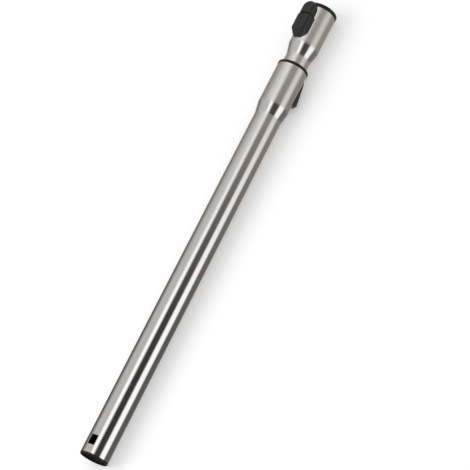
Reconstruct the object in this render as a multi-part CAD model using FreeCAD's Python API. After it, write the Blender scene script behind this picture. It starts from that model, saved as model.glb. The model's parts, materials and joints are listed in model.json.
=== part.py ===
import FreeCAD
import Part
import math
import os

# Telescopic vacuum wand, lying on a floor, fully pushed together.
# Each piece is drawn in the wand's own frame and then laid down:
# x runs along the wand from the lower metal edge to the handle socket, r is measured from its axis,
# z points at the handle latch, and an angle is counted about x, from z round towards -y.

# Outer tube
TUBE_R = 17.5
TUBE_WALL = 0.7
STRAIGHT_LENGTH = 472.0
SHOULDER_LENGTH = 15.0
FLARE_R = 20.1
FLARE_LENGTH = 56.9
BEND_R = 12.0

# Catch window for the floor head
WINDOW_LOW = 9.7
WINDOW_LENGTH = 12.3
WINDOW_WIDTH = 9.4
WINDOW_CORNER = 0.7
WINDOW_ANGLE = 2.0

# End ring of the outer tube
RING_DEPTH = 30.0
RING_WALL = 1.6
RING_LIP = 2.4
RING_LIP_R = 17.35
RING_ROUND = 1.1

# Inner tube
INNER_R = 16.0
INNER_WALL = 0.7
NECK_LENGTH = 18.1
CONE_LENGTH = 16.0
SOCKET_R = 19.8
SOCKET_LENGTH = 52.5

# Locking notches and guide groove, stamped into the inner tube
NOTCH_COUNT = 13
NOTCH_PITCH = 30.0
NOTCH_DEPTH = 1.8
GROOVE_ANGLE = 217.0
GROOVE_HALF_WIDTH = 2.0
GROOVE_DEPTH = 1.0

# Locking roller and the slide that frees it
ROLLER_R = 3.0
ROLLER_LENGTH = 7.6
ROLLER_SETBACK = 6.2
ROLLER_LIFT = 1.9
SLIDE_ANGLE = 145.0
SLIDE_TRAVEL = 5.0
SLIDE_SETBACK = 14.8
SLIDE_HEADROOM = 7.9
SLIDE_CREST_SETBACK = 2.2
SLIDE_CREST_RISE = 4.9
SLIDE_TIP_RISE = 0.2
SLIDE_HALF_WIDTH = 5.5
SLIDE_CREST_HALF_WIDTH = 4.6
SLIDE_WALL = 1.1
SLIDE_ROUND = 0.7
SKIRT_LAP_LOW = 6.8
SKIRT_LAP_HIGH = 3.4
SKIRT_WALL = 1.4
SKIRT_HALF_ANGLE = 28.0
CAGE_WALL = 1.25
SLIDE_SPRING_R = 1.15
SLIDE_SPRING_WIRE = 0.36
SLIDE_SPRING_TURNS = 5.5
SLIDE_SPRING_LENGTH = 12.0
SLIDE_SPRING_SPACING = 4.4

# Guide sleeve, collar and wiper in the flare
SLEEVE_SETBACK = 1.5
SPIGOT_LENGTH = 2.4
SLEEVE_FLOOR = 1.35
KEY_SETBACK = 11.5
COLLAR_HEIGHT = 4.1
COLLAR_PROUD = 0.25
COLLAR_ROUND = 1.1
WIPER_LENGTH = 2.2
WIPER_DEPTH = 1.7

# Bush and seal on the inner tube's lower end
BUSH_LENGTH = 22.0
BUSH_FLANGE = 7.0
BUSH_BORE_R = 14.9
SEAL_LENGTH = 2.8
SEAL_DEPTH = 0.9
NUB_R = 1.8

# Handle socket liner
LINER_BORE_R = 17.6
LINER_RELIEF = 0.3
LINER_LAND = 9.0
RIM_HEIGHT = 5.3
RIM_R = 20.3
RIM_ROUND = 1.6

# Handle latch
TOOTH_DEPTH = 37.0
TOOTH_LENGTH = 7.0
TOOTH_HALF_WIDTH = 4.5
TOOTH_BITE = 1.8
PRESS_ANGLE = 7.0
LATCH_ANGLE = -5.0
PIVOT_SETBACK = 22.5
PIVOT_HALF_WIDTH = 3.6
PIN_R = 1.25
BOSS_WALL = 1.0
COVER_SETBACK = 3.0
COVER_TO_PIVOT = 3.2
COVER_NOSE = 11.0
COVER_HALF_WIDTH = 11.0
COVER_DROP = 0.2
COVER_BEVEL = 8.8
COVER_CORNER_ANGLE = 52.0
COVER_CORNER_BEVEL = 4.2
COVER_WALL = 1.5
PAD_LENGTH = 18.0
PAD_NOSE = 9.0
PAD_HALF_WIDTH = 9.4
PAD_RISE = 5.6
PAD_WALL = 1.3
PAD_GAP = 1.1
SHOULDER_WIDTH = 2.2
SHOULDER_DROP = 1.5
BEVEL_WIDTH = 3.4
BEVEL_DROP = 1.4
EAR_WALL = 1.6
BASE_WALL = 1.0
BASE_HALF_WIDTH = 7.3
ARM_WALL = 2.4
LATCH_SPRING_SETBACK = 8.5
LATCH_SPRING_R = 2.4
LATCH_SPRING_WIRE = 0.45
LATCH_SPRING_TURNS = 4.0

# Clearances
SEAT = 0.05
RUN = 0.1
PIN_RUN = 0.05
FREE = 0.3
STOP = 0.5

# Sizes that follow
SHOULDER_START = STRAIGHT_LENGTH
SHOULDER_END = SHOULDER_START + SHOULDER_LENGTH
FLARE_END = SHOULDER_END + FLARE_LENGTH
NECK_END = FLARE_END + NECK_LENGTH
SOCKET_START = NECK_END + CONE_LENGTH
SOCKET_END = SOCKET_START + SOCKET_LENGTH
SLIDE_FOOT = SHOULDER_END + SLIDE_SETBACK
SLIDE_CREST = SLIDE_FOOT + SLIDE_CREST_SETBACK
SLIDE_TIP = FLARE_END - SLIDE_HEADROOM
SLIDE_CREST_H = FLARE_R + SLIDE_CREST_RISE
SLIDE_TIP_H = FLARE_R + SLIDE_TIP_RISE
SKIRT_LOW = SLIDE_FOOT - SKIRT_LAP_LOW
SKIRT_HIGH = SLIDE_TIP + SKIRT_LAP_HIGH
ROLLER_X = SLIDE_FOOT + ROLLER_SETBACK
SLEEVE_LOW = SHOULDER_END + SLEEVE_SETBACK
SLEEVE_HIGH = FLARE_END - SPIGOT_LENGTH
KEY_LOW = SLEEVE_LOW + KEY_SETBACK
TUBE_BORE_R = TUBE_R - TUBE_WALL
FLARE_BORE_R = FLARE_R - TUBE_WALL
INNER_BORE_R = INNER_R - INNER_WALL
SOCKET_BORE_R = SOCKET_R - INNER_WALL
TRAVEL = (NOTCH_COUNT - 1) * NOTCH_PITCH
INNER_LOW = SLEEVE_LOW - STOP - TRAVEL - BUSH_LENGTH
ROLLER_H = INNER_R - NOTCH_DEPTH + RUN + ROLLER_R
SLEEVE_BORE_R = INNER_R + RUN
SLEEVE_R = FLARE_BORE_R - SEAT
RECESS_R = SLEEVE_BORE_R + SLEEVE_FLOOR
SKIRT_BORE_R = RECESS_R + FREE
SKIRT_R = SKIRT_BORE_R + SKIRT_WALL
KEY_HIGH = SLEEVE_HIGH - STOP
COLLAR_R = FLARE_R + COLLAR_PROUD
COLLAR_END = FLARE_END + COLLAR_HEIGHT
RIM_END = SOCKET_END + RIM_HEIGHT
LINER_R = SOCKET_BORE_R - SEAT
LINER_LOW = SOCKET_START + 1.0
BASE_R = SOCKET_R + SEAT
BASE_TOP_R = BASE_R + BASE_WALL
BOSS_R = PIN_R + BOSS_WALL
TOOTH_X = SOCKET_END - TOOTH_DEPTH
PIVOT_X = TOOTH_X + PIVOT_SETBACK
PIVOT_H = BASE_TOP_R + STOP + BOSS_R
COVER_TIP = SOCKET_START + COVER_SETBACK
COVER_END = PIVOT_X - COVER_TO_PIVOT
PAD_END = PIVOT_X + PAD_LENGTH
PAD_TOP_H = PIVOT_H + PAD_RISE
COVER_TOP_H = PAD_TOP_H - COVER_DROP
LATCH_SPRING_X = PIVOT_X + LATCH_SPRING_SETBACK
FAR = 100.0

ORIGIN = FreeCAD.Vector(0, 0, 0)
ALONG = FreeCAD.Vector(1, 0, 0)
ACROSS = FreeCAD.Vector(0, 1, 0)
UP = FreeCAD.Vector(0, 0, 1)


def turned(outline):
    """Solid of revolution about the wand's axis, from a closed outline of (x, r) corners."""
    corners = [FreeCAD.Vector(x, 0, r) for x, r in outline]
    wire = Part.makePolygon(corners + corners[:1])
    return Part.Face(wire).revolve(ORIGIN, ALONG, 360)


def ring(x0, x1, r_in, r_out):
    """Plain tube from x0 to x1."""
    return turned([(x0, r_in), (x0, r_out), (x1, r_out), (x1, r_in)])


def rod(x0, x1, r):
    """Solid cylinder on the wand's axis."""
    return Part.makeCylinder(r, x1 - x0, FreeCAD.Vector(x0, 0, 0), ALONG)


def sector(x0, x1, r_in, r_out, half_angle):
    """Stretch of tube wall that reaches half_angle to each side of the z axis."""
    corners = [FreeCAD.Vector(x, 0, r) for x, r in ((x0, r_in), (x0, r_out), (x1, r_out), (x1, r_in))]
    face = Part.Face(Part.makePolygon(corners + corners[:1]))
    face.rotate(ORIGIN, ALONG, -half_angle)
    return face.revolve(ORIGIN, ALONG, 2 * half_angle)


def block(x0, x1, half_width, z0, z1):
    """Box that is centred on the plane y = 0."""
    corner = FreeCAD.Vector(x0, -half_width, z0)
    return Part.makeBox(x1 - x0, 2 * half_width, z1 - z0, corner)


def cross_bar(x, z, r, length):
    """Cylinder that lies across the wand, centred on the plane y = 0."""
    return Part.makeCylinder(r, length, FreeCAD.Vector(x, -length / 2, z), ACROSS)


def extruded(outline, half_width):
    """Solid from a closed outline of (x, z) corners, reaching half_width to each side."""
    corners = [FreeCAD.Vector(x, -half_width, z) for x, z in outline]
    wire = Part.makePolygon(corners + corners[:1])
    return Part.Face(wire).extrude(FreeCAD.Vector(0, 2 * half_width, 0))


def turn(shape, angle):
    """Copy of a shape, turned about the wand's axis."""
    copy = shape.copy()
    copy.rotate(ORIGIN, ALONG, angle)
    return copy


def circles_at(shape, places):
    """Edges of a turned shape that lie at the given (x, r) places."""
    found = []
    for edge in shape.Edges:
        if isinstance(edge.Curve, Part.Circle):
            for x, r in places:
                near_x = abs(edge.Curve.Center.x - x) < 0.01
                if near_x and abs(edge.Curve.Radius - r) < 0.01:
                    found.append(edge)
                    break
    return found


def edges_along_x(shape, z_min):
    """Straight edges that run along x and lie above z_min."""
    found = []
    for edge in shape.Edges:
        ends = [vertex.Point for vertex in edge.Vertexes]
        if len(ends) == 2 and min(end.z for end in ends) > z_min:
            run = ends[1] - ends[0]
            if abs(run.x) > 0.9 * run.Length:
                found.append(edge)
    return found


def belled_tube(x0, swage0, swage1, x1, r0, r1, wall):
    """Tube that widens from r0 to r1 between swage0 and swage1, with rounded bends."""
    outline = [
        (x0, r0 - wall), (x0, r0), (swage0, r0), (swage1, r1), (x1, r1),
        (x1, r1 - wall), (swage1, r1 - wall), (swage0, r0 - wall),
    ]
    tube = turned(outline)
    bends = [(swage0, r0), (swage1, r1), (swage0, r0 - wall), (swage1, r1 - wall)]
    return tube.makeFillet(BEND_R, circles_at(tube, bends))


def spring(r, wire_r, length, turns):
    """Compression spring that stands on the origin and rises along z, r to the outside of its wire."""
    mean_r = r - wire_r
    pitch = (length - 2 * wire_r) / turns
    helix = Part.makeHelix(pitch, length - 2 * wire_r, mean_r)
    section = Part.Wire(Part.makeCircle(wire_r, FreeCAD.Vector(mean_r, 0, 0), ACROSS))
    coil = Part.Wire(helix).makePipeShell([section], True, True)
    coil.translate(FreeCAD.Vector(0, 0, wire_r))
    return coil


def outer_tube():
    tube = belled_tube(0, SHOULDER_START, SHOULDER_END, FLARE_END, TUBE_R, FLARE_R, TUBE_WALL)
    window = block(WINDOW_LOW, WINDOW_LOW + WINDOW_LENGTH, WINDOW_WIDTH / 2, 0, FAR)
    corners = [edge for edge in window.Edges if abs(edge.Vertexes[0].Z - edge.Vertexes[1].Z) > 1]
    window = window.makeFillet(WINDOW_CORNER, corners)
    slot_low = SLIDE_FOOT - SLIDE_TRAVEL - FREE
    slot_high = SLIDE_TIP + FREE
    slot = block(slot_low, slot_high, SLIDE_HALF_WIDTH + FREE, 0, FAR)
    return tube.cut([turn(window, WINDOW_ANGLE), turn(slot, SLIDE_ANGLE)])


def end_ring():
    """Plastic ring in the lower end: a rounded lip outside the metal edge and a sleeve inside."""
    outer = TUBE_BORE_R - SEAT
    bore = outer - RING_WALL
    outline = [
        (-RING_LIP, bore + 0.9), (-RING_LIP, RING_LIP_R), (-SEAT, RING_LIP_R), (-SEAT, outer),
        (RING_DEPTH, outer), (RING_DEPTH, bore + 0.5), (RING_DEPTH - 3, bore), (1.5, bore), (0.6, bore + 0.9),
    ]
    body = turned(outline)
    body = body.makeFillet(RING_ROUND, circles_at(body, [(-RING_LIP, RING_LIP_R)]))
    window = block(WINDOW_LOW - FREE, WINDOW_LOW + WINDOW_LENGTH + FREE, WINDOW_WIDTH / 2 + FREE, 0, FAR)
    return body.cut(turn(window, WINDOW_ANGLE))


def guide_sleeve():
    """Plastic sleeve between the tubes: recess for the slide, cage for the roller, key for the groove."""
    lead = 0.8
    body = turned([
        (SLEEVE_LOW, SLEEVE_BORE_R + lead), (SLEEVE_LOW, SLEEVE_R), (SLEEVE_HIGH, SLEEVE_R),
        (SLEEVE_HIGH, SLEEVE_BORE_R + lead), (SLEEVE_HIGH - lead, SLEEVE_BORE_R),
        (SLEEVE_LOW + lead, SLEEVE_BORE_R),
    ])
    recess_low = SKIRT_LOW - SLIDE_TRAVEL - FREE
    recess = sector(recess_low, SKIRT_HIGH + FREE, RECESS_R, FLARE_R, SKIRT_HALF_ANGLE + 1)
    key_half_angle = math.degrees(math.asin((GROOVE_HALF_WIDTH - FREE) / INNER_R))
    key = sector(KEY_LOW, KEY_HIGH, INNER_R - GROOVE_DEPTH + FREE, SLEEVE_BORE_R + SEAT, key_half_angle)
    body = body.cut(turn(recess, SLIDE_ANGLE)).fuse(turn(key, GROOVE_ANGLE))

    pocket_half_length = ROLLER_R + PIN_RUN
    cage_half_length = ROLLER_R + CAGE_WALL
    cage_half_width = ROLLER_LENGTH / 2
    cage_top = ROLLER_H + ROLLER_LIFT
    cage = block(ROLLER_X - cage_half_length, ROLLER_X + cage_half_length, cage_half_width, RECESS_R - 1,
                 cage_top)
    pocket = block(ROLLER_X - pocket_half_length, ROLLER_X + pocket_half_length, cage_half_width + PIN_RUN,
                   0, FAR)
    cage = cage.cut(rod(0, FLARE_END, RECESS_R - 0.5))
    body = body.fuse(turn(cage, SLIDE_ANGLE))
    return body.cut(turn(pocket, SLIDE_ANGLE))


def collar_ring():
    """Black trim ring on the mouth of the flare, with a spigot inside it and a groove for the wiper."""
    spigot_low = SLEEVE_HIGH + SEAT
    groove_low = FLARE_END + 0.8
    groove_high = groove_low + WIPER_LENGTH + 2 * SEAT
    groove_r = INNER_R + WIPER_DEPTH + SEAT
    bore = INNER_R + 2 * FREE
    body = turned([
        (spigot_low, bore + 0.8), (spigot_low, SLEEVE_R), (FLARE_END + SEAT, SLEEVE_R),
        (FLARE_END + SEAT, COLLAR_R), (COLLAR_END, COLLAR_R), (COLLAR_END, bore + 0.3),
        (COLLAR_END - 0.3, bore), (spigot_low + 0.8, bore),
    ])
    body = body.makeFillet(COLLAR_ROUND, circles_at(body, [(COLLAR_END, COLLAR_R)]))
    return body.cut(ring(groove_low, groove_high, INNER_R, groove_r))


def wiper_seal():
    """Rubber wiper in the collar, with a lip that points up and touches the inner tube."""
    low = FLARE_END + 0.8 + SEAT
    high = low + WIPER_LENGTH
    back = INNER_R + WIPER_DEPTH
    root = INNER_R + 2 * FREE + SEAT
    return turned([(low, root), (low, back), (high, back), (high, root), (high - 0.3, INNER_R + PIN_RUN),
                   (high - 0.8, INNER_R + PIN_RUN), (low + 0.6, root)])


def slide_roof(x):
    """Height of the slide's ramp at x."""
    share = (x - SLIDE_CREST) / (SLIDE_TIP - SLIDE_CREST)
    return SLIDE_CREST_H + share * (SLIDE_TIP_H - SLIDE_CREST_H)


def slide_cam(x):
    """Height of the cam edge that holds the roller down, x measured with the slide at rest."""
    slope = ROLLER_LIFT / SLIDE_TRAVEL
    reach = (ROLLER_R + PIN_RUN) * math.hypot(1, slope)
    return ROLLER_H + reach + slope * (x - ROLLER_X)


def slide_spring_low():
    """Where the slide's springs start: against the upper wall of the roller's cage."""
    return ROLLER_X + ROLLER_R + CAGE_WALL


def slide_dome(inset):
    """Ramp of the slide, wedge-shaped from the side and drafted from the end."""
    foot_h = FLARE_R
    base_h = SKIRT_R - SLIDE_WALL
    ramp = extruded([
        (SLIDE_FOOT + 1.2 * inset, base_h), (SLIDE_FOOT + 1.2 * inset, foot_h - inset),
        (SLIDE_CREST + 0.8 * inset, SLIDE_CREST_H - inset), (SLIDE_TIP, SLIDE_TIP_H - inset),
        (SLIDE_TIP, base_h),
    ], 2 * SLIDE_HALF_WIDTH)
    foot_half = SLIDE_HALF_WIDTH - inset
    crest_half = SLIDE_CREST_HALF_WIDTH - inset
    outline = [(-foot_half, base_h), (-foot_half, foot_h), (-crest_half, SLIDE_CREST_H),
               (crest_half, SLIDE_CREST_H), (foot_half, foot_h), (foot_half, base_h)]
    corners = [FreeCAD.Vector(SLIDE_FOOT - 1, y, z) for y, z in outline]
    section = Part.Face(Part.makePolygon(corners + corners[:1]))
    length = SLIDE_TIP - SLIDE_FOOT + 2
    return ramp.common(section.extrude(FreeCAD.Vector(length, 0, 0)))


def release_button():
    """Thumb slide: ramp through the flare's slot, skirt under the wall, ribs that work the roller."""
    dome = slide_dome(0)
    rounded = edges_along_x(dome, FLARE_R + 0.1) + [
        edge for edge in dome.Edges
        if all(abs(v.X - SLIDE_CREST) < 0.01 and abs(v.Z - SLIDE_CREST_H) < 0.01 for v in edge.Vertexes)
    ]
    dome = dome.makeFillet(SLIDE_ROUND, rounded)
    skirt = sector(SKIRT_LOW, SKIRT_HIGH, SKIRT_BORE_R, SKIRT_R, SKIRT_HALF_ANGLE)
    opening_low = SLIDE_FOOT + SLIDE_WALL
    opening_high = SLIDE_TIP - 3.0
    opening = block(opening_low, opening_high, SLIDE_HALF_WIDTH - SLIDE_WALL, SKIRT_BORE_R - 1,
                    SKIRT_R + 0.2)
    hollow = slide_dome(SLIDE_WALL).common(block(SLIDE_FOOT, opening_high, FAR, 0, FAR))
    shell = dome.fuse(skirt).cut([hollow, opening])

    cam_low = ROLLER_X - ROLLER_R / 3
    rib_low = ROLLER_X - ROLLER_R - 1.0
    rib_high = ROLLER_X + SLIDE_TRAVEL + 1.0
    ribs = []
    for y in (-2.6, 2.6):
        rib = extruded([(rib_low, slide_cam(cam_low)), (cam_low, slide_cam(cam_low)),
                        (rib_high, slide_cam(rib_high)), (rib_high, slide_roof(rib_high) - 0.3),
                        (rib_low, slide_roof(rib_low) - 0.3)], 0.7)
        rib.translate(FreeCAD.Vector(0, y, 0))
        ribs.append(rib)
    wall_low = slide_spring_low() + SLIDE_SPRING_LENGTH
    inner_half_width = SLIDE_HALF_WIDTH - SLIDE_WALL
    wall = block(wall_low, wall_low + 1.3, inner_half_width + 0.2, SKIRT_BORE_R + 0.1,
                 slide_roof(wall_low + 1.3) - 0.4)
    return turn(shell.fuse(ribs + [wall]), SLIDE_ANGLE)


def release_spring(side):
    """One of the two springs that push the slide back, side is -1 or 1."""
    coil = spring(SLIDE_SPRING_R, SLIDE_SPRING_WIRE / 2, SLIDE_SPRING_LENGTH - 2 * SEAT, SLIDE_SPRING_TURNS)
    coil.rotate(ORIGIN, ACROSS, 90)
    height = RECESS_R + SLIDE_SPRING_R - PIN_RUN
    coil.translate(FreeCAD.Vector(slide_spring_low() + SEAT, side * SLIDE_SPRING_SPACING / 2, height))
    return turn(coil, SLIDE_ANGLE)


def locking_roller():
    roller = cross_bar(ROLLER_X, ROLLER_H, ROLLER_R, ROLLER_LENGTH)
    roller = roller.makeChamfer(0.4, [edge for edge in roller.Edges if isinstance(edge.Curve, Part.Circle)])
    return turn(roller, SLIDE_ANGLE)


def inner_tube():
    """Inner tube: row of stamped notches, guide groove, belled socket and window for the latch tooth."""
    tube = belled_tube(INNER_LOW, NECK_END, SOCKET_START, SOCKET_END, INNER_R, SOCKET_R, INNER_WALL)
    notch_r = ROLLER_R + RUN
    dents = []
    pressed = []
    envelope = rod(INNER_LOW, NECK_END, INNER_R)
    for index in range(NOTCH_COUNT):
        x = ROLLER_X - index * NOTCH_PITCH
        dent = cross_bar(x, ROLLER_H, notch_r, 2 * INNER_R)
        dents.append(turn(dent, SLIDE_ANGLE))
        skin = cross_bar(x, ROLLER_H, notch_r + INNER_WALL, 2 * INNER_R)
        pressed.append(turn(skin, SLIDE_ANGLE).common(envelope))
    groove_low = INNER_LOW + BUSH_LENGTH + 4
    groove_high = KEY_HIGH + STOP
    floor_h = INNER_R - GROOVE_DEPTH
    groove = block(groove_low, groove_high, GROOVE_HALF_WIDTH, floor_h, FAR)
    bead = block(groove_low - INNER_WALL, groove_high + INNER_WALL, GROOVE_HALF_WIDTH + INNER_WALL,
                 floor_h - INNER_WALL, INNER_R - INNER_WALL / 2)
    pressed.append(turn(bead, GROOVE_ANGLE).common(envelope))
    dents.append(turn(groove, GROOVE_ANGLE))
    window = block(tooth_window_low() - 1.2, tooth_window_high() + 1.2, TOOTH_HALF_WIDTH + 2.3, 0, FAR)
    return tube.fuse(pressed).cut(dents + [turn(window, LATCH_ANGLE)] + bush_nubs(NUB_R + RUN))


def bush_nubs(r):
    """Round nubs, one on each side, that hold the bush halves to the tube."""
    x = INNER_LOW + BUSH_LENGTH / 2
    reach = INNER_R + SEAT - INNER_BORE_R
    right = Part.makeCylinder(r, reach, FreeCAD.Vector(x, INNER_BORE_R, 0), ACROSS)
    left = Part.makeCylinder(r, reach, FreeCAD.Vector(x, -INNER_BORE_R - reach, 0), ACROSS)
    return [right, left]


def bush_half(side):
    """Half shell of the bush that slides in the outer tube, side is -1 or 1."""
    low = INNER_LOW - BUSH_FLANGE
    r = TUBE_BORE_R - RUN
    seal_low = low + 1.6
    body = turned([
        (low, BUSH_BORE_R), (low, r - 0.4), (low + 0.4, r), (seal_low, r), (seal_low, r - SEAL_DEPTH - SEAT),
        (seal_low + SEAL_LENGTH, r - SEAL_DEPTH - SEAT), (seal_low + SEAL_LENGTH, r),
        (INNER_LOW + BUSH_LENGTH - 0.4, r), (INNER_LOW + BUSH_LENGTH, r - 0.4),
        (INNER_LOW + BUSH_LENGTH, INNER_R + SEAT / 2), (INNER_LOW - SEAT, INNER_R + SEAT / 2),
        (INNER_LOW - SEAT, BUSH_BORE_R),
    ])
    body = body.fuse(bush_nubs(NUB_R))
    gap = RUN / 2
    low_y = gap if side > 0 else -FAR
    keep = Part.makeBox(FLARE_END, FAR - gap, 2 * FAR, FreeCAD.Vector(0, low_y, -FAR))
    return body.common(keep)


def inner_end_seal():
    """Rubber ring in the bush's groove, with a rounded back."""
    low = INNER_LOW - BUSH_FLANGE + 1.6 + SEAT
    high = low + SEAL_LENGTH - 2 * SEAT
    floor_r = TUBE_BORE_R - RUN - SEAL_DEPTH
    lip_r = TUBE_BORE_R - PIN_RUN
    return turned([(low, floor_r), (low, lip_r - 0.5), (low + 0.9, lip_r), (low + 1.5, lip_r),
                   (high, lip_r - 0.5), (high, floor_r)])


def tooth_window_low():
    return TOOTH_X - 3.0


def tooth_window_high():
    return TOOTH_X + TOOTH_LENGTH + 2.0


def socket_liner():
    """Plastic liner of the handle socket and its rim: two guide lands with a relief at the tooth."""
    relief_low = LINER_LOW + LINER_LAND
    relief_high = tooth_window_high() + 3.0
    relief_r = LINER_BORE_R + LINER_RELIEF
    body = turned([
        (LINER_LOW, LINER_BORE_R), (LINER_LOW, LINER_R), (SOCKET_END + SEAT, LINER_R),
        (SOCKET_END + SEAT, RIM_R), (RIM_END, RIM_R), (RIM_END, LINER_BORE_R + 0.9),
        (RIM_END - 1.2, LINER_BORE_R), (relief_high + 0.6, LINER_BORE_R), (relief_high, relief_r),
        (relief_low + 0.6, relief_r), (relief_low, LINER_BORE_R),
    ])
    body = body.makeFillet(RIM_ROUND, circles_at(body, [(RIM_END, RIM_R)]))
    window = block(tooth_window_low(), tooth_window_high(), TOOTH_HALF_WIDTH + 1, 0, FAR)
    return body.cut(turn(window, LATCH_ANGLE))


def latch_base():
    """Saddle on the socket: frame through the tube wall, ears for the pivot pin, seat for the spring."""
    low = COVER_TIP + COVER_BEVEL - 1.0
    saddle = ring(low, SOCKET_END - FREE, BASE_R, BASE_TOP_R)
    saddle = saddle.common(block(low, SOCKET_END, BASE_HALF_WIDTH, 0, FAR))
    frame = block(tooth_window_low() - 1.0, tooth_window_high() + 1.0, TOOTH_HALF_WIDTH + 2.0, 0, FAR)
    frame = frame.common(ring(low, SOCKET_END, LINER_R + SEAT, BASE_R + 0.2))
    ears = []
    ear_y = PIVOT_HALF_WIDTH + FREE
    ear_r = BOSS_R - RUN
    for y in (-ear_y - EAR_WALL, ear_y):
        round_top = Part.makeCylinder(ear_r, EAR_WALL, FreeCAD.Vector(PIVOT_X, y, PIVOT_H), ACROSS)
        foot_corner = FreeCAD.Vector(PIVOT_X - ear_r, y, SOCKET_R)
        foot = Part.makeBox(2 * ear_r, EAR_WALL, PIVOT_H - SOCKET_R, foot_corner)
        foot.translate(FreeCAD.Vector(0, 0, -1))
        neck_corner = FreeCAD.Vector(PIVOT_X - ear_r, y, PIVOT_H - 2)
        foot = foot.fuse(Part.makeBox(2 * ear_r, EAR_WALL, 2, neck_corner))
        ears.append(round_top.fuse(foot).cut(rod(low, SOCKET_END, BASE_R)))
    seat = Part.makeCylinder(LATCH_SPRING_R + 0.3, 2, FreeCAD.Vector(LATCH_SPRING_X, 0, BASE_TOP_R - 1.8))
    peg = Part.makeCylinder(LATCH_SPRING_R - LATCH_SPRING_WIRE - 0.3, 1.2,
                            FreeCAD.Vector(LATCH_SPRING_X, 0, BASE_TOP_R + 0.2))
    seat = seat.cut(rod(low, SOCKET_END, BASE_R))
    body = saddle.fuse([frame] + ears + [seat, peg])
    opening = block(tooth_window_low(), tooth_window_high(), TOOTH_HALF_WIDTH + 1, 0, FAR)
    pin_hole = cross_bar(PIVOT_X, PIVOT_H, PIN_R, FAR)
    return turn(body.cut([opening, pin_hole]), LATCH_ANGLE)


def plan_form(x_flat, x_tip, half_width, nose):
    """Upright solid with straight sides from x_flat and a half-elliptic nose that ends at x_tip."""
    centre_x = x_tip + math.copysign(nose, x_flat - x_tip)
    disc = Part.makeCylinder(half_width, FAR, ORIGIN, UP)
    squeeze = FreeCAD.Matrix()
    squeeze.scale(nose / half_width, 1, 1)
    disc = disc.transformGeometry(squeeze)
    disc.translate(FreeCAD.Vector(centre_x, 0, 0))
    straight = block(min(x_flat, centre_x), max(x_flat, centre_x), half_width, 0, FAR)
    return straight.fuse(disc)


def latch_bar(x0, x1, half_width, top_h, inset):
    """Bar along x with the latch's section: upright sides, broken shoulders and a flat top."""
    side = half_width - inset
    top = top_h - inset
    right = [(side, 0), (side, SOCKET_R - 3), (side - 0.4, top - SHOULDER_DROP - BEVEL_DROP - 1.8),
             (side - SHOULDER_WIDTH, top - BEVEL_DROP), (side - SHOULDER_WIDTH - BEVEL_WIDTH, top)]
    outline = right + [(-y, z) for y, z in reversed(right)]
    corners = [FreeCAD.Vector(x0, y, z) for y, z in outline]
    bar = Part.Face(Part.makePolygon(corners + corners[:1])).extrude(FreeCAD.Vector(x1 - x0, 0, 0))
    if inset:
        return bar
    return bar.makeFillet(1.2, edges_along_x(bar, SOCKET_R))


def nose_bevels(inset):
    """Three sloping cuts of the cover's nose, one ahead and one at each corner."""
    centre = FreeCAD.Vector(COVER_TIP + COVER_NOSE, 0, 0)
    top = COVER_TOP_H - inset
    foot_h = SOCKET_R + 0.7
    foot = COVER_TIP + 0.4 + inset
    cuts = ((0, COVER_BEVEL), (-COVER_CORNER_ANGLE, COVER_CORNER_BEVEL),
            (COVER_CORNER_ANGLE, COVER_CORNER_BEVEL))
    bevels = []
    for angle, length in cuts:
        edge = COVER_TIP + length + 0.4 * inset
        bevel = extruded([(edge, top), (10 * FAR, top), (10 * FAR, 0), (foot, 0), (foot, foot_h)], FAR)
        bevel.rotate(centre, UP, angle)
        bevels.append(bevel)
    return bevels


def cover_form(inset):
    """Outer form of the latch cover, or its hollow if inset is the wall."""
    end = COVER_END + FREE * (inset > 0)
    form = plan_form(end, COVER_TIP + inset, COVER_HALF_WIDTH - inset, COVER_NOSE - inset)
    form = form.common(latch_bar(COVER_TIP - 1, COVER_END + 2, COVER_HALF_WIDTH, COVER_TOP_H, inset))
    for bevel in nose_bevels(inset):
        form = form.common(bevel)
    return form


def latch_cover():
    """Fixed lower half of the latch block: a thin cap with a bevelled nose, open to the press pad."""
    shell = cover_form(0).cut(cover_form(COVER_WALL))
    shell = shell.cut(rod(COVER_TIP - 5, COVER_END + 5, SOCKET_R + SEAT))
    return turn(shell, LATCH_ANGLE)


def pad_form(inset):
    """Outer form of the press pad, or its hollow if inset is the wall."""
    low = COVER_END + PAD_GAP
    form = plan_form(low - FREE * (inset > 0), PAD_END - inset, PAD_HALF_WIDTH - inset, PAD_NOSE - inset)
    form = form.common(latch_bar(low - 1, PAD_END + 1, PAD_HALF_WIDTH, PAD_TOP_H, inset))
    top = PAD_TOP_H - inset
    end = PAD_END - inset
    points = [FreeCAD.Vector(x, -FAR, z) for x, z in
              ((low - 1, 0), (low - 1, top), (end - 8, top), (end - 2.2, top - 1.6), (end, top - 5.5),
               (end, 0))]
    edges = [Part.LineSegment(points[0], points[1]), Part.LineSegment(points[1], points[2]),
             Part.Arc(points[2], points[3], points[4]), Part.LineSegment(points[4], points[5]),
             Part.LineSegment(points[5], points[0])]
    side = Part.Face(Part.Wire([edge.toShape() for edge in edges])).extrude(FreeCAD.Vector(0, 2 * FAR, 0))
    return form.common(side)


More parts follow.
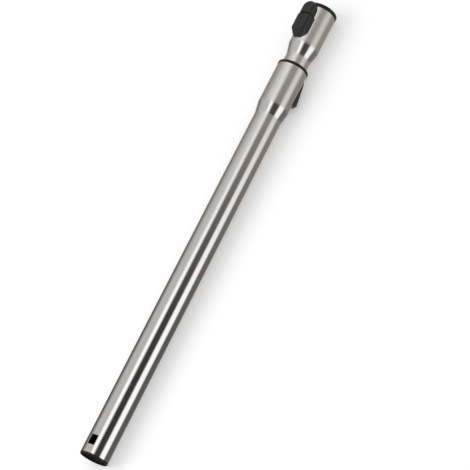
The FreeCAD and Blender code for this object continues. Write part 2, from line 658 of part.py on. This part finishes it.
def latch_button():
    """Rocker: press pad over the socket, bosses on the pivot pin, and an arm with the tooth at its end."""
    low = COVER_END + PAD_GAP
    dip = (PAD_END - PIVOT_X) * math.sin(math.radians(PRESS_ANGLE))
    skirt_inside = PAD_HALF_WIDTH - PAD_WALL
    under_low = math.sqrt(SOCKET_R ** 2 - skirt_inside ** 2) + FREE
    under_high = RIM_R + dip + 2 * FREE
    under = extruded([(low - 5, under_low), (PIVOT_X, under_low), (PAD_END + 1, under_high),
                      (PAD_END + 1, 0), (low - 5, 0)], FAR)
    shell = pad_form(0).cut([pad_form(PAD_WALL), under])

    boss_y = PIVOT_HALF_WIDTH
    ceiling = PAD_TOP_H - PAD_WALL + 0.2
    bosses = cross_bar(PIVOT_X, PIVOT_H, BOSS_R, 2 * boss_y)
    web = block(PIVOT_X - BOSS_R + 0.8, PIVOT_X + BOSS_R, boss_y, PIVOT_H, ceiling)
    arm_low = PIVOT_H - BOSS_R + SEAT
    arm = block(TOOTH_X, TOOTH_X + TOOTH_LENGTH, TOOTH_HALF_WIDTH, arm_low, arm_low + ARM_WALL)
    arm = arm.fuse(block(TOOTH_X, PIVOT_X, PIVOT_HALF_WIDTH, arm_low, arm_low + ARM_WALL))
    tip_h = LINER_BORE_R - TOOTH_BITE
    tooth = extruded([(TOOTH_X, arm_low + ARM_WALL), (TOOTH_X, tip_h), (TOOTH_X + 2.5, tip_h),
                      (TOOTH_X + TOOTH_LENGTH, tip_h + 3.6), (TOOTH_X + TOOTH_LENGTH, arm_low + ARM_WALL)],
                     TOOTH_HALF_WIDTH)
    seat_foot = FreeCAD.Vector(LATCH_SPRING_X, 0, latch_spring_high())
    seat = Part.makeCylinder(LATCH_SPRING_R + 0.3, 1.4, seat_foot)
    stud = Part.makeCylinder(LATCH_SPRING_R - LATCH_SPRING_WIRE - 0.3, 1.4,
                             FreeCAD.Vector(LATCH_SPRING_X, 0, latch_spring_high() - 1.2))
    body = shell.fuse([bosses, web, arm, tooth, seat, stud])
    body = body.cut(cross_bar(PIVOT_X, PIVOT_H, PIN_R + PIN_RUN, 2 * PIVOT_HALF_WIDTH + RUN))
    return turn(body.removeSplitter(), LATCH_ANGLE)


def latch_spring_high():
    """Height of the spring's upper seat under the press pad."""
    return PAD_TOP_H - PAD_WALL - 0.8


def latch_pin():
    pin = cross_bar(PIVOT_X, PIVOT_H, PIN_R, 2 * (PIVOT_HALF_WIDTH + FREE + EAR_WALL))
    return turn(pin, LATCH_ANGLE)


def latch_spring():
    low = BASE_TOP_R + 0.2
    length = latch_spring_high() - low - 2 * SEAT
    coil = spring(LATCH_SPRING_R, LATCH_SPRING_WIRE / 2, length, LATCH_SPRING_TURNS)
    coil.translate(FreeCAD.Vector(LATCH_SPRING_X, 0, low + SEAT))
    return turn(coil, LATCH_ANGLE)


def lying_tilt():
    """Slope of the axis, in degrees, with the lower edge and the widest ring on the floor."""
    rings = [(SHOULDER_END, FLARE_R), (COLLAR_END, COLLAR_R), (SOCKET_START, SOCKET_R), (RIM_END, RIM_R)]
    return max(math.degrees(math.atan((r - TUBE_R) / x)) for x, r in rings)


def lying_roll():
    """Turn about the axis, in degrees, at which the slide's crest comes down on the floor."""
    axis_h = TUBE_R + SLIDE_CREST * math.tan(math.radians(lying_tilt()))
    h = SLIDE_CREST_H - SLIDE_ROUND
    w = SLIDE_CREST_HALF_WIDTH - SLIDE_ROUND
    corner = math.degrees(math.atan2(w, h))
    lean = math.degrees(math.acos((axis_h - SLIDE_ROUND) / math.hypot(h, w)))
    return 180 - corner - lean - SLIDE_ANGLE


def laid_down():
    """Placement that lays the wand on the floor, its middle over the origin."""
    roll = FreeCAD.Rotation(ALONG, lying_roll())
    tilt = FreeCAD.Rotation(ACROSS, -lying_tilt())
    rotation = tilt.multiply(roll)
    middle = (RIM_END - RING_LIP) / 2
    slope = math.radians(lying_tilt())
    shift = FreeCAD.Vector(-middle * math.cos(slope), 0, TUBE_R * math.cos(slope))
    return FreeCAD.Placement(shift, rotation)


PIECES = {
    "outer_tube": outer_tube,
    "end_ring": end_ring,
    "guide_sleeve": guide_sleeve,
    "collar_ring": collar_ring,
    "wiper_seal": wiper_seal,
    "release_button": release_button,
    "release_spring_left": lambda: release_spring(-1),
    "release_spring_right": lambda: release_spring(1),
    "locking_roller": locking_roller,
    "inner_tube": inner_tube,
    "bush_half_left": lambda: bush_half(-1),
    "bush_half_right": lambda: bush_half(1),
    "inner_end_seal": inner_end_seal,
    "socket_liner": socket_liner,
    "latch_base": latch_base,
    "latch_cover": latch_cover,
    "latch_button": latch_button,
    "latch_pin": latch_pin,
    "latch_spring": latch_spring,
}

os.makedirs("parts", exist_ok=True)
for name, make in PIECES.items():
    piece = make()
    piece.Placement = laid_down().multiply(piece.Placement)
    piece.exportStep("parts/" + name + ".step")
    print(name, len(piece.Solids), "solid", piece.isValid(), round(piece.Volume), "mm3")
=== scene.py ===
import json
import math

import bmesh
import bpy
from mathutils import Matrix, Quaternion, Vector


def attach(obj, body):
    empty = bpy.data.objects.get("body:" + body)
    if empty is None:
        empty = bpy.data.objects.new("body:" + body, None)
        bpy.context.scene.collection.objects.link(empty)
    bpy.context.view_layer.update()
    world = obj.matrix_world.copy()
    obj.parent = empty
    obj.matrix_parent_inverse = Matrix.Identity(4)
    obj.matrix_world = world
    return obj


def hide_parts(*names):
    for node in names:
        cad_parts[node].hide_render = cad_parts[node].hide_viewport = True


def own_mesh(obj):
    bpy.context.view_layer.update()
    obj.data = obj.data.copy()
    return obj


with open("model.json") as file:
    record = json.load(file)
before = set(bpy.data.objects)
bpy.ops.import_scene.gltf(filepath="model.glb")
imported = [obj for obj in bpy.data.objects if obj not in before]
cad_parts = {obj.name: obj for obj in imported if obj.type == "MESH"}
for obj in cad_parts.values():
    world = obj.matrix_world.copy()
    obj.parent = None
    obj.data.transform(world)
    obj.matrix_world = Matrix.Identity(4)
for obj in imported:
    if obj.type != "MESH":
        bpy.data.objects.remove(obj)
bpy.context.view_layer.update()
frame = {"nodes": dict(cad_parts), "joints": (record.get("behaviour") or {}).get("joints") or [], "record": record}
NODES = frame["nodes"]
JOINTS = {joint["name"]: joint for joint in frame["joints"]}
MOUNTS = {mount["name"]: mount for mount in frame["record"]["mounts"]}

# Axis of the wand, the middle of its lower edge, and the directions that face the camera and the latch.
# Slide and camera each have their own angle round the axis.
MOUNT_TO_EDGE = 0.150
SLIDE_ANGLE = 145.0
CAMERA_ANGLE = 39.5
ALONG = Vector(JOINTS["telescope"]["axis"]).normalized()
LOWER_EDGE = Vector(MOUNTS["floor_head_end"]["pos_m"]) - MOUNT_TO_EDGE * ALONG
SLIDE_FACING = Vector(JOINTS["roller_lift"]["axis"]).normalized()
FACING = Quaternion(ALONG, math.radians(CAMERA_ANGLE - SLIDE_ANGLE)) @ SLIDE_FACING
SIDEWAYS = ALONG.cross(FACING)
LATCH_ACROSS = Vector(JOINTS["latch_rock"]["axis"])
LATCH_UP = ALONG.cross(LATCH_ACROSS)

# Camera, found from the outlines of the tubes in the photo
FOCAL_PX = 1755.4
PHOTO_PX = 470
SENSOR_MM = 36.0
CENTRE_OFF_PX = 0.5
LOWER_EDGE_SEEN = Vector((-0.162036, 0.254677, 2.013219))
ALONG_SEEN = Vector((0.42725, -0.84525, 0.32096))
FACING_SEEN = Vector((0.14479, -0.28645, -0.94709))
SIDEWAYS_SEEN = Vector((0.89247, 0.45111, 0.0))


def from_camera(v):
    """Direction in the row frame of a direction seen by the camera: x right, y down, z ahead."""
    return ALONG * ALONG_SEEN.dot(v) + FACING * FACING_SEEN.dot(v) + SIDEWAYS * SIDEWAYS_SEEN.dot(v)


def add_camera():
    data = bpy.data.cameras.new("camera")
    data.sensor_width = SENSOR_MM
    data.lens = SENSOR_MM * FOCAL_PX / PHOTO_PX
    data.shift_x = -CENTRE_OFF_PX / PHOTO_PX
    data.shift_y = CENTRE_OFF_PX / PHOTO_PX
    data.clip_start = 0.05
    data.clip_end = 50.0
    camera = bpy.data.objects.new("camera", data)
    bpy.context.scene.collection.objects.link(camera)
    right = from_camera(Vector((1, 0, 0)))
    up = from_camera(Vector((0, -1, 0)))
    back = from_camera(Vector((0, 0, -1)))
    turn = Matrix((right, up, back)).transposed().to_4x4()
    camera.matrix_world = Matrix.Translation(LOWER_EDGE - from_camera(LOWER_EDGE_SEEN)) @ turn
    bpy.context.scene.camera = camera


# Materials

SHARP_EDGE = math.radians(28)
BRUSH_STRETCH = (2600.0, 60.0, 60.0)
CLOUD_STRETCH = (90.0, 140.0, 140.0)
NO_STRETCH = (1.0, 1.0, 1.0)
SCRATCH_DEPTH = 0.00002
GRAIN_DEPTH = 0.00012
ROUGHNESS_SPREAD = 0.03


def new_material(name):
    material = bpy.data.materials.new(name)
    material.use_nodes = True
    tree = material.node_tree
    return material, tree, tree.nodes["Principled BSDF"]


def node(tree, kind, **values):
    """Adds a node and sets its properties, and its inputs by name."""
    made = tree.nodes.new(kind)
    for key, value in values.items():
        if key in made.inputs:
            made.inputs[key].default_value = value
        else:
            setattr(made, key, value)
    return made


def noise(tree, stretch, **values):
    """Noise over the object's own position, stretched along each axis."""
    coordinates = node(tree, "ShaderNodeTexCoord")
    mapping = node(tree, "ShaderNodeMapping", Scale=stretch)
    texture = node(tree, "ShaderNodeTexNoise", **values)
    tree.links.new(coordinates.outputs["Object"], mapping.inputs["Vector"])
    tree.links.new(mapping.outputs["Vector"], texture.inputs["Vector"])
    return texture.outputs["Fac"]


def map_range(tree, value, source, target, **values):
    """Value taken from the source range to the target range."""
    made = node(tree, "ShaderNodeMapRange", **values)
    made.inputs["From Min"].default_value, made.inputs["From Max"].default_value = source
    made.inputs["To Min"].default_value, made.inputs["To Max"].default_value = target
    tree.links.new(value, made.inputs["Value"])
    return made.outputs["Result"]


def paint(tree, shader, colour, strength):
    """Base colour that is lighter and darker by strength."""
    scaled = node(tree, "ShaderNodeVectorMath", operation="SCALE")
    scaled.inputs[0].default_value = colour
    tree.links.new(strength, scaled.inputs["Scale"])
    tree.links.new(scaled.outputs["Vector"], shader.inputs["Base Color"])


def add_bump(tree, shader, height, strength, distance):
    bump = node(tree, "ShaderNodeBump", Strength=strength, Distance=distance)
    tree.links.new(height, bump.inputs["Height"])
    tree.links.new(bump.outputs["Normal"], shader.inputs["Normal"])


def brushed_steel(name, colour, roughness, scratch):
    """Stainless steel with fine brush marks that run round the tube."""
    material, tree, shader = new_material(name)
    shader.inputs["Metallic"].default_value = 1.0
    marks = noise(tree, BRUSH_STRETCH, Scale=1.0, Detail=6.0, Roughness=0.7)
    cloud = noise(tree, CLOUD_STRETCH, Scale=1.0, Detail=3.0, Roughness=0.5)
    paint(tree, shader, colour, map_range(tree, marks, (0.3, 0.7), (0.9, 1.06)))
    spread = (roughness - ROUGHNESS_SPREAD, roughness + ROUGHNESS_SPREAD)
    rough = map_range(tree, cloud, (0.3, 0.7), spread)
    tree.links.new(rough, shader.inputs["Roughness"])
    add_bump(tree, shader, marks, scratch, SCRATCH_DEPTH)
    return material


def plastic(name, colour, roughness, grain, grain_scale=1400.0, gloss=0.5):
    """Moulded plastic or rubber with a fine grain and a little mottling."""
    material, tree, shader = new_material(name)
    shader.inputs["Roughness"].default_value = roughness
    shader.inputs["Specular IOR Level"].default_value = gloss
    speck = noise(tree, NO_STRETCH, Scale=grain_scale, Detail=4.0, Roughness=0.6)
    paint(tree, shader, colour, map_range(tree, speck, (0.35, 0.65), (0.8, 1.25)))
    add_bump(tree, shader, speck, grain, GRAIN_DEPTH)
    return material


def metal(name, colour, roughness):
    """Plain ground or drawn steel."""
    material, tree, shader = new_material(name)
    shader.inputs["Metallic"].default_value = 1.0
    shader.inputs["Roughness"].default_value = roughness
    cloud = noise(tree, NO_STRETCH, Scale=900.0, Detail=3.0)
    paint(tree, shader, colour, map_range(tree, cloud, (0.0, 1.0), (0.88, 1.05)))
    return material


def shade(mesh):
    mesh.shade_smooth()
    mesh.set_sharp_from_angle(angle=SHARP_EDGE)


def dress_nodes():
    """Gives every CAD node the material of its slot."""
    made = {
        "outer_steel": brushed_steel("outer_steel", (0.795, 0.786, 0.779), 0.11, 0.1),
        "inner_steel": brushed_steel("inner_steel", (0.81, 0.8, 0.79), 0.13, 0.1),
        "black_plastic": plastic("black_plastic", (0.010, 0.0095, 0.009), 0.36, 0.15, gloss=0.35),
        "rim_plastic": plastic("rim_plastic", (0.010, 0.009, 0.008), 0.34, 0.12, gloss=0.3),
        "latch_plastic": plastic("latch_plastic", (0.0145, 0.0135, 0.0145), 0.27, 0.7, 700.0),
        "grey_plastic": plastic("grey_plastic", (0.25, 0.25, 0.25), 0.5, 0.1),
        "rubber": plastic("rubber", (0.03, 0.03, 0.03), 0.75, 0.1),
        "pin_steel": metal("pin_steel", (0.6, 0.6, 0.6), 0.25),
        "spring_steel": metal("spring_steel", (0.55, 0.55, 0.55), 0.35),
    }
    for entry in frame["record"]["subparts"]:
        shown = NODES[entry["node"]]
        shown.data.materials.clear()
        shown.data.materials.append(made[entry["material_slot"]])
        shade(shown.data)
    return made


# Springs: copies of the spring nodes, each on the body that carries it


def squeezing_spring(name, body):
    """Stands for a rigid spring node with a copy of its coil on the body that carries it."""
    source = NODES[name]
    coil = bpy.data.objects.new(name + "_shown", source.data.copy())
    bpy.context.scene.collection.objects.link(coil)
    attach(coil, body)
    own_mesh(coil)
    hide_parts(name)


def squeeze_springs():
    for name in ("release_spring_left", "release_spring_right"):
        squeezing_spring(name, "outer")
    squeezing_spring("latch_spring", "inner")


# Handle latch: a fixed cover with three bevels on its nose, a press pad with a round end and its lever,
# in millimetres, with x along the wand from the lower edge, y across and h above the axis

MM = 1000.0
PIVOT_X = MM * (Vector(JOINTS["latch_rock"]["pos_m"]) - LOWER_EDGE).dot(ALONG)
LATCH_TOP = 28.97
COVER_TIP = 581.4
COVER_END = 612.8
COVER_NOSE = 11.0
COVER_HALF_WIDTH = 11.2
COVER_WALL = 1.5
PAD_LOW = 613.8
PAD_END = 634.0
PAD_HALF_WIDTH = 10.0
PAD_WALL = 1.3

# Bevels: where they start inside the tip and above the axis, then the turn of each and how far it comes in
BEVEL_SETBACK = 0.4
BEVEL_LOW_H = 20.5
BEVELS = [(0, 8.4), (-52, 3.8), (52, 3.8)]
LEAST_FACING = 0.05
BEVEL_SHARPNESS = 60
CORNER_SHARPNESS = 40
END_LEAN = 0.06
SMALL = 1e-4

# Feet of the two caps: the surface that they sit on, room for the arm, and the pad's slope up to its end
SEAT_R = 19.85
ARM_ROOM_HALF_WIDTH = 6.0
ARM_ROOM_LENGTH = 2.5
ARM_ROOM_H = 25.2
PAD_FOOT_H = 18.4
PAD_FOOT_SLOPE = 0.25
PAD_CLEARANCE = 0.35

# Height of each ring of the caps above the axis, and how far it lies inside the foot of the wall
RING_POINTS = 120
RING_STEP = 0.01
CAP_LEVELS = [
    (0.0, 0.0), (20.5, 0.05), (21.96, 0.12), (23.13, 0.22), (24.31, 0.42), (25.26, 0.75), (26.14, 1.2),
    (26.82, 1.75), (27.51, 2.5), (28.04, 3.3), (28.48, 4.2), (28.78, 5.1), (28.92, 6.0), (LATCH_TOP, 7.2),
]

# Side views of the lever's two parts as x and h, and half their width
ARM = [(593.5, 23.8), (593.5, 21.4), (614.4, 21.4), (614.4, 27.9), (613.9, 27.9), (613.9, 23.8)]
ARM_HALF_WIDTH = 3.5
TOOTH = [(593.5, 21.4), (593.5, 15.8), (596.0, 15.8), (600.5, 19.4), (600.5, 21.4)]
TOOTH_HALF_WIDTH = 4.4


def in_latch(x, y, h):
    """Point of the row frame from the latch's own x, y and h."""
    return LOWER_EDGE + (x * ALONG + y * LATCH_ACROSS + h * LATCH_UP) / MM


def soft_min(limits, sharpness):
    """Smallest of the limits, eased where two are near each other."""
    return sum(limit ** -sharpness for limit in limits) ** (-1.0 / sharpness)


def cover_reach(angle, narrow, wall, h):
    """How far the cover reaches from the middle of its nose at an angle from +x."""
    x, y = math.cos(angle), math.sin(angle)
    inset = narrow + wall
    half_width = COVER_HALF_WIDTH - inset
    if x > 0:
        end = COVER_END - COVER_TIP - COVER_NOSE - END_LEAN * inset
        return soft_min([half_width / max(abs(y), SMALL), end / x], CORNER_SHARPNESS)
    limits = [1.0 / math.hypot(x / (COVER_NOSE - inset), y / half_width)]
    rise = max(h - BEVEL_LOW_H, 0.0) / (LATCH_TOP - BEVEL_LOW_H)
    for degrees, length in BEVELS:
        turn = math.radians(degrees)
        facing = -x * math.cos(turn) + y * math.sin(turn)
        if facing > LEAST_FACING:
            limits.append((COVER_NOSE - BEVEL_SETBACK - wall - rise * length) / facing)
    return soft_min(limits, BEVEL_SHARPNESS)


def pad_reach(angle, narrow, wall, h):
    """How far the press pad reaches from the middle of its round end at an angle from +x, at any height."""
    x, y = math.cos(angle), math.sin(angle)
    inset = narrow + wall
    half_width = PAD_HALF_WIDTH - inset
    if x > 0:
        return half_width
    straight = PAD_END - PAD_HALF_WIDTH - PAD_LOW - END_LEAN * inset
    return soft_min([half_width / max(abs(y), SMALL), straight / max(-x, SMALL)], CORNER_SHARPNESS)


def seat(y):
    """Height of the socket's surface beside the middle."""
    return math.sqrt(SEAT_R ** 2 - y ** 2)


def cover_foot(x, y):
    """Height of the cover's lower edge: on the socket, and over the arm at the open end."""
    if x > COVER_END - ARM_ROOM_LENGTH and abs(y) < ARM_ROOM_HALF_WIDTH:
        return ARM_ROOM_H
    return seat(y)


def pad_foot(x, y):
    """Height of the pad's lower edge, which slopes up to let the pad down over the rim."""
    if x < PAD_LOW + ARM_ROOM_LENGTH and abs(y) < ARM_ROOM_HALF_WIDTH:
        return ARM_ROOM_H
    slope = PAD_FOOT_H + PAD_FOOT_SLOPE * max(x - PIVOT_X, 0.0)
    return max(slope, seat(y) + PAD_CLEARANCE)


def cap_ring(centre_x, reach, foot, narrow, wall, h, least):
    """Ring of points at a height, or on the foot with least added where the foot is higher."""
    ring = []
    for step in range(RING_POINTS):
        angle = 2 * math.pi * (step + 0.5) / RING_POINTS
        r = reach(angle, narrow, wall, h)
        x, y = centre_x + r * math.cos(angle), r * math.sin(angle)
        ring.append(in_latch(x, y, max(h, foot(x, y) + least)))
    return ring


def add_latch_piece(maker, name, body, node_name, material):
    """Puts what maker holds on a body, in place of the named node if there is one."""
    bmesh.ops.recalc_face_normals(maker, faces=maker.faces)
    mesh = bpy.data.meshes.new(name)
    maker.to_mesh(mesh)
    maker.free()
    mesh.materials.append(material)
    shade(mesh)
    piece = bpy.data.objects.new(name, mesh)
    bpy.context.scene.collection.objects.link(piece)
    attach(piece, body)
    if node_name:
        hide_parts(node_name)


def latch_cap(centre_x, reach, foot, wall):
    """Thin moulded cap: rings of points from its foot to its top, and the same again inside."""
    maker = bmesh.new()
    sides = []
    for inset in (0.0, wall):
        rings = []
        for index, (h, narrow) in enumerate(CAP_LEVELS):
            points = cap_ring(centre_x, reach, foot, narrow, inset, h - inset, RING_STEP * index)
            rings.append([maker.verts.new(point) for point in points])
        sides.append(rings)
    outside, inside = sides
    for rings in (outside, inside[::-1], [inside[0], outside[0]]):
        for low, high in zip(rings, rings[1:]):
            for index in range(RING_POINTS):
                after = (index + 1) % RING_POINTS
                maker.faces.new((low[index], low[after], high[after], high[index]))
    maker.faces.new(outside[-1])
    maker.faces.new(inside[-1][::-1])
    return maker


def latch_lever():
    """Arm under the cover, with the tooth that reaches into the socket."""
    maker = bmesh.new()
    for outline, half_width in ((ARM, ARM_HALF_WIDTH), (TOOTH, TOOTH_HALF_WIDTH)):
        left = [maker.verts.new(in_latch(x, -half_width, h)) for x, h in outline]
        right = [maker.verts.new(in_latch(x, half_width, h)) for x, h in outline]
        maker.faces.new(left)
        maker.faces.new(right[::-1])
        for index in range(len(outline)):
            after = (index + 1) % len(outline)
            maker.faces.new((left[after], left[index], right[index], right[after]))
    return maker


def add_latch(material):
    cover = latch_cap(COVER_TIP + COVER_NOSE, cover_reach, cover_foot, COVER_WALL)
    add_latch_piece(cover, "latch_cover_cap", "inner", "latch_cover", material)
    pad = latch_cap(PAD_END - PAD_HALF_WIDTH, pad_reach, pad_foot, PAD_WALL)
    add_latch_piece(pad, "press_pad", "latch", "latch_button", material)
    add_latch_piece(latch_lever(), "latch_lever", "latch", None, material)


# Stage

FLOOR_SIZE = 30.0
FLOOR_Z = -0.00005
FLOOR_COLOUR = (0.9, 0.9, 0.9, 1.0)
FLOOR_LIFT = 0.24
WHITE = (1.0, 1.0, 1.0, 1.0)
WORLD_STRENGTH = 0.72
KEY_PLACE = Vector((-1.0, 0, 1.3)) - 1.9 * SIDEWAYS
KEY_SIZE = 2.2
KEY_POWER = 27.0

# Surround: its middle along the wand, its size, and where along it the low panels fade into the high ones
SURROUND_X = 0.32
SURROUND_R = 1.2
SURROUND_LENGTH = 6.0
PANEL_FADE = (0.1, 0.95)

# Panels of the surround: first and last angle on the tube at which each shows, from -90 on the left of the
# photo to 90 on its right, and brightness. Between two panels the light fades from one to the next.
LOW_PANELS = [
    (-90, -88, 0.46), (-72, -65, 0.11), (-47, -21, 0.56), (-15, -11, 1.28), (-4, 15.2, 0.045),
    (20.8, 35.5, 1.22), (41.5, 68, 0.12), (86, 90, 0.38),
]
HIGH_PANELS = [
    (-90, -87, 0.66), (-67, -60, 0.32), (-48, -46, 0.42), (-23, -18, 0.86), (-1, 12, 0.36), (25, 33, 0.64),
    (46, 66, 0.30), (85, 90, 0.46),
]
LOW_WARMTH = 0.06
HIGH_WARMTH = 0.14


def stage_material(name):
    """Material without its shader, and the socket that takes another one."""
    material, tree, shader = new_material(name)
    tree.nodes.remove(shader)
    return material, tree, tree.nodes["Material Output"].inputs["Surface"]


def add_floor():
    bpy.ops.mesh.primitive_plane_add(size=FLOOR_SIZE, location=(0, 0, FLOOR_Z))
    floor = bpy.context.object
    floor.name = "floor"
    material, tree, surface = stage_material("floor")
    diffuse = node(tree, "ShaderNodeBsdfDiffuse", Color=FLOOR_COLOUR)
    glow = node(tree, "ShaderNodeEmission", Color=WHITE)
    path = node(tree, "ShaderNodeLightPath")
    lift = node(tree, "ShaderNodeMath", operation="MULTIPLY")
    lift.inputs[1].default_value = FLOOR_LIFT
    tree.links.new(path.outputs["Is Camera Ray"], lift.inputs[0])
    tree.links.new(lift.outputs["Value"], glow.inputs["Strength"])
    both = node(tree, "ShaderNodeAddShader")
    tree.links.new(diffuse.outputs["BSDF"], both.inputs[0])
    tree.links.new(glow.outputs["Emission"], both.inputs[1])
    tree.links.new(both.outputs["Shader"], surface)
    floor.data.materials.append(material)
    floor.visible_glossy = False


def panel_ramp(tree, panels, warmth, share):
    """Ramp over a full turn of the surround. Dim panels are warmer than bright ones."""
    ramp = node(tree, "ShaderNodeValToRGB")
    elements = ramp.color_ramp.elements
    elements.remove(elements[-1])
    stops = [(angle, level) for first, last, level in panels for angle in (first, last)]
    for index, (angle, level) in enumerate(stops):
        place = (angle + 90.0) / 180.0
        element = elements[0] if index == 0 else elements.new(place)
        element.position = place
        tint = warmth * (1.0 - min(level, 1.0))
        element.color = (level * (1.0 + tint), level, level * (1.0 - tint), 1.0)
    tree.links.new(share, ramp.inputs["Fac"])
    return ramp.outputs["Color"]


def add_surround():
    """Wide tube of soft panels round the set that only the metal and the plastics reflect."""
    bpy.ops.mesh.primitive_cylinder_add(
        vertices=180, radius=SURROUND_R, depth=SURROUND_LENGTH, end_fill_type="NGON")
    surround = bpy.context.object
    surround.name = "surround"
    turn = Matrix((FACING, SIDEWAYS, ALONG)).transposed().to_4x4()
    surround.matrix_world = Matrix.Translation(LOWER_EDGE + SURROUND_X * ALONG) @ turn
    material, tree, surface = stage_material("surround")
    coordinates = node(tree, "ShaderNodeTexCoord")
    parts = node(tree, "ShaderNodeSeparateXYZ")
    tree.links.new(coordinates.outputs["Object"], parts.inputs["Vector"])
    angle = node(tree, "ShaderNodeMath", operation="ARCTAN2")
    tree.links.new(parts.outputs["Y"], angle.inputs[0])
    tree.links.new(parts.outputs["X"], angle.inputs[1])
    share = map_range(tree, angle.outputs["Value"], (-math.pi, math.pi), (0.0, 1.0))
    fade = map_range(tree, parts.outputs["Z"], PANEL_FADE, (0.0, 1.0), interpolation_type="SMOOTHSTEP")
    mix = node(tree, "ShaderNodeMix", data_type="RGBA")
    tree.links.new(fade, mix.inputs["Factor"])
    tree.links.new(panel_ramp(tree, LOW_PANELS, LOW_WARMTH, share), mix.inputs["A"])
    tree.links.new(panel_ramp(tree, HIGH_PANELS, HIGH_WARMTH, share), mix.inputs["B"])
    glow = node(tree, "ShaderNodeEmission")
    tree.links.new(mix.outputs["Result"], glow.inputs["Color"])
    tree.links.new(glow.outputs["Emission"], surface)
    surround.data.materials.append(material)
    surround.visible_camera = False
    surround.visible_diffuse = False
    surround.visible_shadow = False
    surround.visible_transmission = False
    surround.visible_volume_scatter = False


def add_key_light():
    data = bpy.data.lights.new("key", "AREA")
    data.shape = "SQUARE"
    data.size = KEY_SIZE
    data.energy = KEY_POWER
    lamp = bpy.data.objects.new("key", data)
    bpy.context.scene.collection.objects.link(lamp)
    lamp.location = KEY_PLACE
    lamp.rotation_mode = "QUATERNION"
    lamp.rotation_quaternion = (-KEY_PLACE).to_track_quat("-Z", "Y")
    lamp.visible_glossy = False


def add_world():
    world = bpy.data.worlds.new("world")
    bpy.context.scene.world = world
    world.use_nodes = True
    background = world.node_tree.nodes["Background"]
    background.inputs["Color"].default_value = WHITE
    background.inputs["Strength"].default_value = WORLD_STRENGTH


materials = dress_nodes()
squeeze_springs()
add_latch(materials["latch_plastic"])
add_floor()
add_surround()
add_world()
add_key_light()
add_camera()

scene = bpy.context.scene
scene.view_settings.view_transform = "Standard"
